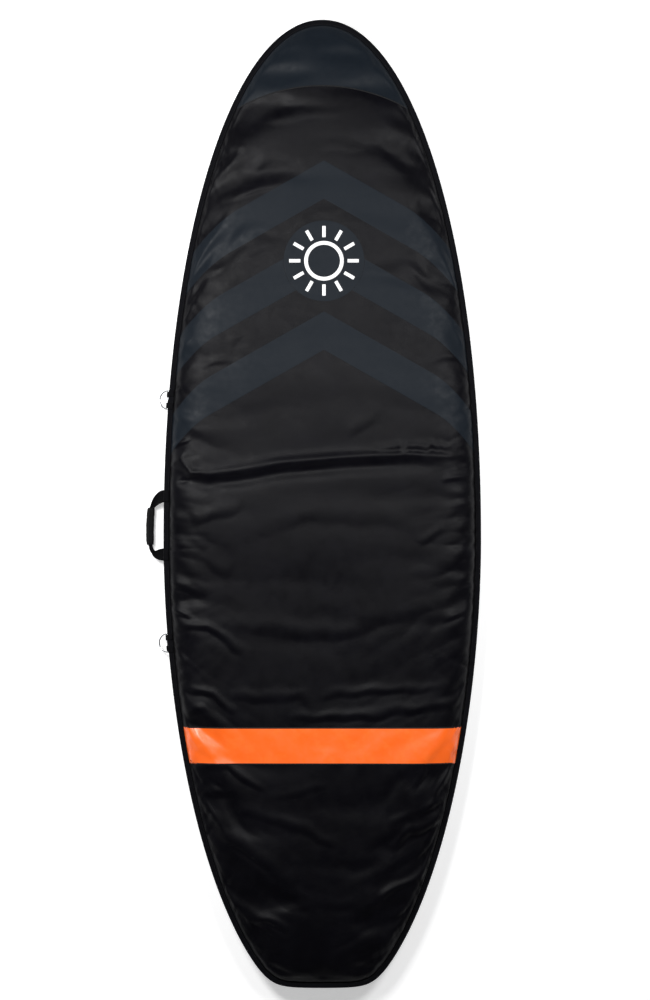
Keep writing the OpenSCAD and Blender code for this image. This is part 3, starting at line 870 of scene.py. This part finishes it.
def joined(name, objs):
    """One object from several, with their borders welded. Its modifiers are the first one's."""
    bm = bmesh.new()
    for o in objs:
        bm.from_mesh(o.data)
    bmesh.ops.remove_doubles(bm, verts=bm.verts, dist=WELD_GAP)
    first = objs[0]
    for o in objs[1:]:
        bpy.data.objects.remove(o)
    first.data = mesh_from(bm, name)
    first.name = name
    return first


def off_emblem(x, y):
    return np.hypot(x - GRAPHIC_X, y - EMBLEM_Y) - EMBLEM_R - EMBLEM_GAP


def on_emblem(x, y):
    return EMBLEM_R - np.hypot(x - GRAPHIC_X, y - EMBLEM_Y)


def before_seam(x, y):
    """Above zero on the nose's side of its curved seam."""
    return np.minimum(np.hypot(x, y - (SEAM_Y - SEAM_R)) - SEAM_R, y - SEAM_BEHIND)


def make_films(outer):
    """The slate and orange panels, in the places the CAD films hold."""
    panels = [
        (film("nose_film", outer, [before_seam]), "nose_patch"),
        (chevron("chevron_film_front", 0, outer), "chevron_front"),
        (chevron("chevron_film_middle", 1, outer, [off_emblem]), "chevron_middle"),
        (chevron("chevron_film_back", 2, outer), "chevron_back"),
        (film("emblem_film", outer, [on_emblem]), "emblem_panel"),
    ]
    for obj, node in panels:
        finish_piece(obj, "lid", SLATE, [node])
    stripe = film("stripe_film", outer, [lambda x, y: y - STRIPE_LOW, lambda x, y: STRIPE_HIGH - y])
    finish_piece(stripe, "lid", ORANGE, ["accent_stripe"])


# ---- Pieces draped on the top panel ----

def draped(tree, xy, lift):
    """The points moved straight down on to the panel, and up again by lift."""
    out = []
    for x, y in xy:
        hit = tree.ray_cast(Vector((x, y, 2 * CROWN)), Vector((0, 0, -1)))[0]
        out.append((x, y, (hit.z if hit else CLOTH_TOP) + lift))
    return np.array(out)


def draped_ribbon(name, tree, route, width, thickness):
    """A narrow strip along a route on the panel."""
    route = np.array(route)
    t = unit(np.gradient(route, axis=0))
    side = np.column_stack([-t[:, 1], t[:, 0]])
    rows = [draped(tree, route + side * o, thickness) for o in (-width / 2, 0, width / 2)]
    points = np.stack(rows, 1)
    return thicken(mesh_object(name, points, grid_faces(len(route), 3, flip=True)), thickness)


SUN_RING_IN, SUN_RING_OUT = 0.047, 0.058
RAY_FROM, RAY_TO, RAY_HALF, RAYS = 0.069, 0.102, 0.005, 12
MARK_LIFT = 0.0008


def sun_mark(tree):
    """A plain sun: an open ring with short rays."""
    around = np.linspace(0, 2 * np.pi, 121)
    radii = [SUN_RING_IN, (SUN_RING_IN + SUN_RING_OUT) / 2, SUN_RING_OUT]
    r, t = np.meshgrid(radii, around, indexing="ij")
    flats = [np.stack([r * np.cos(t), r * np.sin(t)], -1).reshape(-1, 2)]
    faces = grid_faces(*r.shape)
    u, v = np.meshgrid(np.linspace(RAY_FROM, RAY_TO, 8), np.linspace(-RAY_HALF, RAY_HALF, 4), indexing="ij")
    for i in range(RAYS):
        c, s = np.cos(2 * np.pi * i / RAYS), np.sin(2 * np.pi * i / RAYS)
        flats.append(np.stack([u * c - v * s, u * s + v * c], -1).reshape(-1, 2))
        faces += grid_faces(*u.shape, r.size + i * u.size)
    xy = np.concatenate(flats) + [GRAPHIC_X, EMBLEM_Y]
    obj = thicken(mesh_object("sun_mark", draped(tree, xy, MARK_LIFT), faces), FILM_THICK)
    finish_piece(obj, "lid", WHITE, ["emblem_mark"])


STRIPE_SEAM_WIDE, STRIPE_SEAM_THICK = 0.0042, 0.0008
NOSE_SEAM_WIDE, NOSE_SEAM_THICK, NOSE_SEAM_TURN = 0.0034, 0.0007, 0.515


def make_seams(tree):
    """The dark seams along the stripe and the nose patch."""
    for name, y in (("stripe_seam_front", STRIPE_HIGH), ("stripe_seam_back", STRIPE_LOW)):
        reach = float(half_width_at(np.array(y))) - FLANGE - 2 * EDGE_GAP
        route = [(x, y) for x in np.linspace(-reach, reach, 240)]
        seam = draped_ribbon(name, tree, route, STRIPE_SEAM_WIDE, STRIPE_SEAM_THICK)
        finish_piece(seam, "lid", THREAD)
    turns = np.linspace(-NOSE_SEAM_TURN, NOSE_SEAM_TURN, 160)
    route = [(SEAM_R * np.sin(t), SEAM_Y - SEAM_R + SEAM_R * np.cos(t)) for t in turns]
    route = [p for p in route if inside_edge(*np.array(p)) > -EDGE_GAP]
    seam = draped_ribbon("nose_seam", tree, route, NOSE_SEAM_WIDE, NOSE_SEAM_THICK)
    finish_piece(seam, "lid", THREAD)


# ---- Edges: binding, stitches, zip and spine ----

def round_section(middle, half_wide, half_high, power=3.0, count=16):
    """A flattened round section, as [(inset, height above the middle)]."""
    t = np.linspace(0, 2 * np.pi, count, endpoint=False)
    c, s = np.cos(t), np.sin(t)
    return [(middle + half_wide * np.sign(a) * abs(a) ** (2 / power),
             half_high * np.sign(b) * abs(b) ** (2 / power)) for a, b in zip(c, s)]


BINDING_STEP, BINDING_MIDDLE, BINDING_HALF = 0.0045, 0.0091, 0.0089
BINDING_RIPPLE = 0.0004
STITCH_LINE, GROOVE_DEEP, GROOVE_WIDE = 0.0135, 0.0005, 0.0012


def binding_tape(name, below, seed):
    """Folded tape round a half shell's edge, drawn in a little by its stitches."""
    rng = np.random.default_rng(seed)
    angles = angle_at_length(np.arange(0, PERIMETER, BINDING_STEP))
    once_round = 2 * np.pi * length_at(angles) / PERIMETER
    ripple = sum(np.sin(k * once_round + rng.uniform(0, 6.28)) for k in (211, 307, 419)) / 3
    wander = sum(np.sin(k * once_round + rng.uniform(0, 6.28)) for k in (23, 37, 61)) / 3
    rows = []
    for d, h in round_section(BINDING_MIDDLE, BINDING_HALF, (FLANGE_TOP - FLANGE_UNDER) / 2):
        groove = GROOVE_DEEP * math.exp(-((d - STITCH_LINE) / GROOVE_WIDE) ** 2) * np.sign(h)
        z = (FLANGE_TOP + FLANGE_UNDER) / 2 + (h - groove) * (1 + 0.10 * ripple) + BINDING_RIPPLE * ripple
        rows.append(edge_row(angles, d + (BINDING_RIPPLE * wander if d > 0.8 * FLANGE else 0), z))
    points = np.stack(rows, 1)
    return half_mesh(name, points, tube_faces(*points.shape[:2], closed=True), below)


def repeated(name, rings, centres, tangents, below):
    """Copies of a small round shape; its x runs along the tangent, y sideways and z up."""
    rings = np.asarray(rings, float)
    n, k = rings.shape[:2]
    up = np.tile([0.0, 0.0, 1.0], (len(tangents), 1))
    axes = np.stack([tangents, np.cross(up, tangents), up], -1)
    points = centres[:, None, :] + np.einsum("nij,kj->nki", axes, rings.reshape(-1, 3))
    faces = tube_faces(n, k)
    every = [[i + c * n * k for i in f] for c in range(len(centres)) for f in faces]
    return half_mesh(name, points, every, below)


def stitch_shape(length, thick, count=6):
    """A short stitch, round and tapered at both ends."""
    t = 2 * np.pi * np.arange(count) / count
    return [np.column_stack([np.full(count, length * u), r * thick * np.cos(t), r * thick * np.sin(t)])
            for u, r in ((-0.5, 0.35), (-0.32, 1.0), (0.32, 1.0), (0.5, 0.35))]


def along_edge(spacing, start, end, d, z):
    """Places along the outline, with their directions."""
    angles = angle_at_length(np.arange(start, end, spacing))
    d = np.full(len(angles), d)
    centres = edge_row(angles, d, z)
    ahead = inset(angles + TANGENT_STEP / 4, d) - inset(angles - TANGENT_STEP / 4, d)
    return centres, unit(np.column_stack([ahead, np.zeros(len(angles))]))


EDGE_STITCH_PITCH, EDGE_STITCH_LONG, EDGE_STITCH_HALF, STITCH_SUNK = 0.0046, 0.0034, 0.00055, 0.0001


def edge_stitches(name, below):
    centres, t = along_edge(EDGE_STITCH_PITCH, 0, PERIMETER, STITCH_LINE, FLANGE_TOP - STITCH_SUNK)
    return repeated(name, stitch_shape(EDGE_STITCH_LONG, EDGE_STITCH_HALF), centres, t, below)


SPINE_LOW, SPINE_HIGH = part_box("spine_gusset")
COIL_LOW, COIL_HIGH = (corner.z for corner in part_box("upper_zip_coil"))


def left_length(y):
    """Length along the outline to a place on the left side."""
    a = np.linspace(np.pi / 2, 3 * np.pi / 2, 4000)
    return float(length_at(a[np.argmin(np.abs(edge_point(a)[:, 1] - y))]))


STOP_REACH = 0.024
COIL_PITCH, COIL_HALF, COIL_DEEP = 0.0024, 0.0008, 0.0016
SPINE_INSET, SPINE_THICK, SPINE_FOLD = 0.0178, 0.0010, 0.0075
SPINE_RIPPLES = [(160, 0.0012), (93, 0.0010)]


def zip_coil(name, below):
    """A nylon coil: small rounded loops along the tape."""
    start, end = left_length(SPINE_LOW.y - STOP_REACH), left_length(SPINE_HIGH.y + STOP_REACH)
    centres, t = along_edge(COIL_PITCH, start, end, TRACK, (COIL_LOW + COIL_HIGH) / 2)
    deep, top = COIL_DEEP, (COIL_HIGH - COIL_LOW) / 2
    profile = [(-deep, -0.6 * top), (-0.6 * deep, -top), (0.6 * deep, -top), (deep, -0.6 * top),
               (deep, 0.6 * top), (0.6 * deep, top), (-0.6 * deep, top), (-deep, 0.6 * top)]
    rings = [[(u, y, z) for y, z in profile] for u in (-COIL_HALF, COIL_HALF)]
    return repeated(name, rings, centres, t, below)


def spine():
    """The cloth that joins the halves on the left, folded outwards between the flanges."""
    start, end = left_length(SPINE_HIGH.y), left_length(SPINE_LOW.y) + PERIMETER
    angles = angle_at_length(np.linspace(start, end, 240))
    once_round = 2 * np.pi * length_at(angles) / PERIMETER
    ripple = sum(size * np.sin(k * once_round) for k, size in SPINE_RIPPLES)
    low, high = SPINE_LOW.z, SPINE_HIGH.z
    t = np.linspace(0, 1, 13)
    fold = SPINE_FOLD * np.clip(np.sin(np.pi * np.clip((t - 0.08) / 0.84, 0, 1)), 0, 1) ** 0.8
    rows = []
    for z, out in zip(low + (high - low) * t, fold):
        rows.append(edge_row(angles, SPINE_INSET - out + ripple * (out > 0.001), z))
    obj = mesh_object("spine_cloth", np.stack(rows, 1), grid_faces(len(angles), len(t)))
    thicken(obj, SPINE_THICK, 0.0)
    finish_piece(obj, None, BLACK_CLOTH, ["spine_gusset"])
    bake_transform(obj)


def make_edges():
    for name, below, body, node, seed in (("top_edge_tape", False, "lid", "top_binding", 3),
                                          ("bottom_edge_tape", True, "base", "bottom_binding", 4)):
        finish_piece(binding_tape(name, below, seed), body, BINDING, [node])
        finish_piece(edge_stitches(name + "_stitches", below), body, THREAD)
    finish_piece(zip_coil("upper_coil_teeth", False), "lid", COIL, ["upper_zip_coil"])
    finish_piece(zip_coil("lower_coil_teeth", True), "base", COIL, ["lower_zip_coil"])
    spine()


# ---- Handle and rings ----

JOINTS = {j["name"]: j for j in frame["record"]["behaviour"]["joints"]}


class Hung:
    """A place on the left edge under the lower flange: u outwards, v forwards, w up."""

    def __init__(self, joint, droop):
        self.origin = np.array(JOINTS[joint]["pos_m"], float)
        self.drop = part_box("bottom_binding")[0].z - self.origin[2]
        v = -unit(np.array(JOINTS[joint]["axis"], float))
        up = np.array([0.0, 0.0, 1.0])
        out = np.cross(v, up)
        out = -out if out[0] > 0 else out
        turn = math.radians(droop)
        self.flat = np.stack([out, v, up])
        self.hanging = np.stack([out * math.cos(turn) - up * math.sin(turn), v,
                                 out * math.sin(turn) + up * math.cos(turn)])

    def at(self, u, v, w):
        return self.origin + np.column_stack(np.broadcast_arrays(u, v, w)) @ self.hanging

    def level(self, u, v, w):
        return self.origin + np.column_stack(np.broadcast_arrays(u, v, w)) @ self.flat


HANDLE_DROOP, RING_DROOP = 36.0, 25.0
HANDLE_REACH, LEG_APART, LEG_WIDE = 0.048, 0.086, 0.036
GRIP_LENGTH, GRIP_WIDE, GRIP_THICK = 0.110, 0.026, 0.016
GRIP_SHIFT, GRIP_FILL = -0.003, 0.8
# The hems' rings: places along the grip from its middle, and how wide against it.
HEM_RINGS = [(0.0500, 0.99), (0.0505, 1.05), (0.0527, 1.05), (0.0532, 0.99)]
WEBBING_THICK = 0.0026
SEWN_FROM, SEWN_TO = -0.018, -0.003
HANDLE_Y = float(JOINTS["handle_swing"]["pos_m"][1])
RING_YS = {"front": 0.307, "back": -0.410}
RING_LOOP_WIDE, RING_LOOP_APART = 0.017, 0.032
RING_LOOP_IN, RING_LOOP_OUT = 0.0022, 0.0044
PATCH_THICK = 0.0016
RING_PATCH_WIDE, RING_PATCH_APART = 0.019, 0.038
TAB_STITCH_PITCH, TAB_STITCH_LONG, TAB_STITCH_HALF = 0.0042, 0.0032, 0.0005
TAB_STITCH_ROWS = (0.0060, 0.0095)
HANDLE_STITCHED, RING_STITCHED = 0.017, 0.022


def smooth_route(points, count):
    """A smooth curve through given points, evenly spaced."""
    p = np.array(points, float)
    p = np.vstack([2 * p[0] - p[1], p, 2 * p[-1] - p[-2]])
    out = []
    for i in range(1, len(p) - 2):
        for t in np.linspace(0, 1, 24, endpoint=False):
            out.append(0.5 * (2 * p[i] + (p[i + 1] - p[i - 1]) * t + (
                2 * p[i - 1] - 5 * p[i] + 4 * p[i + 1] - p[i + 2]) * t * t + (
                3 * p[i] - p[i - 1] - 3 * p[i + 1] + p[i + 2]) * t ** 3))
    out = np.array([*out, p[-2]])
    s = np.concatenate([[0], np.cumsum(np.linalg.norm(np.diff(out, axis=0), axis=1))])
    even = np.linspace(0, s[-1], count)
    return np.stack([np.interp(even, s, out[:, k]) for k in range(out.shape[1])], 1)


def tube(name, rings):
    """A skin over rings of points, with flat ends."""
    obj = mesh_object(name, rings, tube_faces(*np.shape(rings)[:2]))
    bm = bmesh.new()
    bm.from_mesh(obj.data)
    bmesh.ops.recalc_face_normals(bm, faces=bm.faces)
    bm.to_mesh(obj.data)
    bm.free()
    return obj


BEND = (-0.002, 0.010)
CURL_SINKS = 0.0035
# Each leg's route from under the flange to the grip. Then the half turn that its webbing curls up
# by, and the shares of the route where the curl starts and is full.
LEG_ROUTES = {
    1: ([(-0.018, 0.086), (0.0, 0.086), (0.0145, 0.0785), (0.029, 0.0655), (0.041, 0.0525),
         (0.0475, 0.040)], 2.3, 0.25, 0.85),
    -1: ([(-0.018, -0.086), (0.0, -0.086), (0.0134, -0.0863), (0.028, -0.084), (0.0418, -0.0723),
          (0.0480, -0.050)], 2.6, 0.20, 0.65),
}


def handle_leg(name, side, hung):
    """Webbing from under the flange, out past the pivot, curling up as it enters the grip."""
    points, most, start, full = LEG_ROUTES[side]
    route = smooth_route(points, 44)
    t = unit(np.gradient(route, axis=0))
    across = np.column_stack([-t[:, 1], t[:, 0]])
    share = np.linspace(0, 1, len(route))
    curled = np.clip((share - start) / (full - start), 0, 1)
    curl = 0.04 + most * curled
    droop = np.clip((route[:, 0] + 0.004) / 0.012, 0, 1)
    section = np.array(round_section(0.0, 1.0, WEBBING_THICK / 2, 5.0, 32))
    rings = []
    for i, p in enumerate(route):
        radius, turn = LEG_WIDE / 2 / curl[i], section[:, 0] * curl[i]
        sideways = (radius - section[:, 1]) * np.sin(turn) * (1 - 0.15 * curled[i])
        lift = (radius - (radius - section[:, 1]) * np.cos(turn)) * (1 - 0.45 * curled[i])
        lift -= CURL_SINKS * curled[i]
        u, v = p[0] + across[i, 0] * sideways, p[1] + across[i, 1] * sideways
        rings.append(hung.at(u, v, lift) * droop[i] + hung.level(u, v, lift) * (1 - droop[i]))
    obj = tube(name, rings)
    finish_piece(obj, None, WEBBING)
    start, end = (tuple(hung.level(u, 0, 0)[0]) for u in BEND)
    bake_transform(obj)
    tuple(start)
    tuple(end)


def grip_ring(t, size, count=48):
    """One oval of the grip at t, -1 to 1 along it: sideways and upwards places."""
    a = np.linspace(0, 2 * np.pi, count, endpoint=False)
    puff = size * (1 - 0.14 * abs(t) ** 10 - 0.04 * t * t)
    puff *= 1 + 0.018 * math.sin(9 * t + 1) + 0.012 * math.sin(23 * t)
    flap = 1 + 0.10 / (1 + np.exp((np.abs(a - 0.5 * np.pi - 0.9) - 0.9) / 0.05))
    u = GRIP_WIDE / 2 * puff * flap * np.sign(np.cos(a)) * np.abs(np.cos(a)) ** 0.85
    w = GRIP_THICK / 2 * puff * flap * np.sign(np.sin(a)) * np.abs(np.sin(a)) ** 0.85
    bow = 0.0025 * (1 - t * t) - 0.0015 * t
    return HANDLE_REACH - 0.0015 + bow + u, w


def grip(hung):
    """The padded wrap round the grip, with its flap's edge along the top, and its hems."""
    rings = []
    for t in np.linspace(-1, 1, 60):
        u, w = grip_ring(t, 1.0)
        rings.append(hung.at(u, GRIP_SHIFT + t * GRIP_LENGTH / 2, w))
    obj = tube("grip_wrap", rings)
    finish_piece(obj, "handle", GRIP_CLOTH, ["grip_sleeve", "grip_foam", "handle_webbing"])
    for side, name in ((1, "grip_hem_front"), (-1, "grip_hem_back")):
        hems = []
        for v, size in HEM_RINGS:
            u, w = grip_ring(side * 0.97, size)
            hems.append(hung.at(u, GRIP_SHIFT + side * v, w))
        finish_piece(tube(name, hems), "handle", BINDING)


def anchor_pad(name, side, hung, node):
    """The webbing's sewn end, folded up under the flange and stitched through it."""
    low, high = WEBBING_THICK / 2 + 0.0001, hung.drop
    section = np.array(round_section(0, 0.985 * LEG_WIDE / 2, (high - low) / 2, 2 / 0.3, 24))
    v, w = side * LEG_APART + section[:, 0], (high + low) / 2 + section[:, 1]
    rings = [hung.level(u, v, w) for u in np.linspace(SEWN_FROM, SEWN_TO, 10)]
    finish_piece(tube(name, rings), "base", WEBBING, [node])


def make_handle():
    hung = Hung("handle_swing", HANDLE_DROOP)
    for side, end in ((1, "front"), (-1, "back")):
        handle_leg("handle_leg_" + end, side, hung)
        anchor_pad("handle_tab_" + end, side, hung, "handle_anchor_" + end)
    grip(hung)


def ring_loop(name, hung, node):
    """Two narrow webbing loops folded round the ring's bar and sewn under the flange."""
    a = np.linspace(0.5 * np.pi, -0.62 * np.pi, 22)
    outer = [(RING_LOOP_OUT * math.cos(t), RING_LOOP_OUT * math.sin(t)) for t in a]
    inner = [(RING_LOOP_IN * math.cos(t), RING_LOOP_IN * math.sin(t)) for t in a[::-1]]
    lower_tail = [(-0.0120, 0.0006), (-0.0165, 0.0014), (-0.0165, 0.0021), (-0.0060, 0.0016)]
    upper_tail = [(-0.0055, 0.0024), (-0.0165, 0.0024), (-0.0165, hung.drop), (-0.0070, hung.drop),
                  (-0.0040, RING_LOOP_OUT)]
    profile = np.array(outer + lower_tail + inner + upper_tail)
    loops = []
    for side in (-1, 1):
        rings = []
        for v in np.linspace(-1, 1, 9):
            narrow = 1 - 0.10 * np.clip(profile[:, 0] / RING_LOOP_OUT, 0, 1)
            places = side * RING_LOOP_APART / 2 + v * narrow * RING_LOOP_WIDE / 2
            rings.append(hung.level(profile[:, 0], places, profile[:, 1] * (1 - 0.02 * abs(v) ** 10)))
        loops.append(tube(name, rings))
    finish_piece(joined(name, loops), "base", WEBBING, [node])


def edge_patch(name, ys, wide, node):
    """Webbing sewn over the upper edge, following the binding's swell, with turned-in ends."""
    patches = []
    for y in ys:
        rows = []
        for s in np.linspace(-0.5, 0.5, 13):
            a = angle_at_length(left_length(y) + s * wide)
            thick = PATCH_THICK * (1 - 0.5 * abs(2 * s) ** 12)
            row = [(-0.0004, -0.0040), (-0.0006, -0.0008), (0.0008, thick), (0.0050, thick + 0.0003),
                   (0.0120, thick + 0.0003), (0.0160, thick - 0.0002), (0.0172, -0.0004),
                   (0.0090, -0.0010), (0.0010, -0.0016)]
            rows.append([[*inset(np.full(1, a), [d])[0], FLANGE_TOP + z] for d, z in row])
        patches.append(tube(name, rows))
    finish_piece(joined(name, patches), "lid", WEBBING, [node])


def make_patches():
    for side, end in ((1, "front"), (-1, "back")):
        edge_patch("handle_patch_" + end + "_cloth", [HANDLE_Y + side * LEG_APART], LEG_WIDE,
                   "handle_patch_" + end)
        y = RING_YS[end]
        edge_patch("ring_patch_" + end + "_cloth", [y - RING_PATCH_APART / 2, y + RING_PATCH_APART / 2],
                   RING_PATCH_WIDE, "ring_patch_" + end)


def box_stitches(name, places, body):
    """Two rows of stitches across each sewn tab, on the flange's upper face."""
    z = 2 * MID_Z - FLANGE_UNDER + 2 * STITCH_SUNK
    rows = [along_edge(TAB_STITCH_PITCH, left_length(y) - half, left_length(y) + half, d, z)
            for y, half in places for d in TAB_STITCH_ROWS]
    centres, tangents = (np.concatenate(part) for part in zip(*rows))
    obj = repeated(name, stitch_shape(TAB_STITCH_LONG, TAB_STITCH_HALF), centres, tangents, False)
    finish_piece(obj, body, THREAD)


def make_rings():
    for end in ("front", "back"):
        ring_loop("ring_webbing_" + end, Hung(f"ring_{end}_swing", RING_DROOP), "ring_loop_" + end)
    tabs = [(HANDLE_Y + LEG_APART, HANDLE_STITCHED), (HANDLE_Y - LEG_APART, HANDLE_STITCHED),
            (RING_YS["front"], RING_STITCHED), (RING_YS["back"], RING_STITCHED)]
    box_stitches("tab_stitches", tabs, "base")


# ---- Finishes on the CAD nodes that stay ----

def dress_nodes():
    nodes = {"upper_zip_tape": TAPE, "lower_zip_tape": TAPE}
    for end in ("_front", "_back"):
        nodes |= {"d_ring" + end: STEEL, "slider" + end: NICKEL, "pull_tab" + end: NICKEL,
                  "pull_grip" + end: RUBBER, "zip_stop" + end: TAPE}
    for node, material in nodes.items():
        mesh = bpy.data.objects[node].data
        mesh.materials.clear()
        mesh.materials.append(material)


# ---- Making it all ----


def make_panels():
    top, outer = padded_panel("top_cover", top_relief, below=False)
    finish_piece(top, "lid", BLACK_CLOTH, ["top_shell", "top_foam"])
    bottom, _ = padded_panel("bottom_cover", bottom_relief, below=True)
    finish_piece(bottom, "base", BLACK_CLOTH, ["bottom_shell", "bottom_foam"])
    for name, below, body, node in (("top_lining_cloth", False, "lid", "top_lining"),
                                    ("bottom_lining_cloth", True, "base", "bottom_lining")):
        sheet = finish_piece(lining_sheet(name, below), body, LINING_CLOTH, [node])
    return top, outer


def main():
    make_camera()
    make_studio()
    top, outer = make_panels()
    make_films(outer)
    tree = BVHTree.FromObject(top, bpy.context.evaluated_depsgraph_get())
    sun_mark(tree)
    make_seams(tree)
    make_edges()
    make_handle()
    make_rings()
    make_patches()
    dress_nodes()


main()
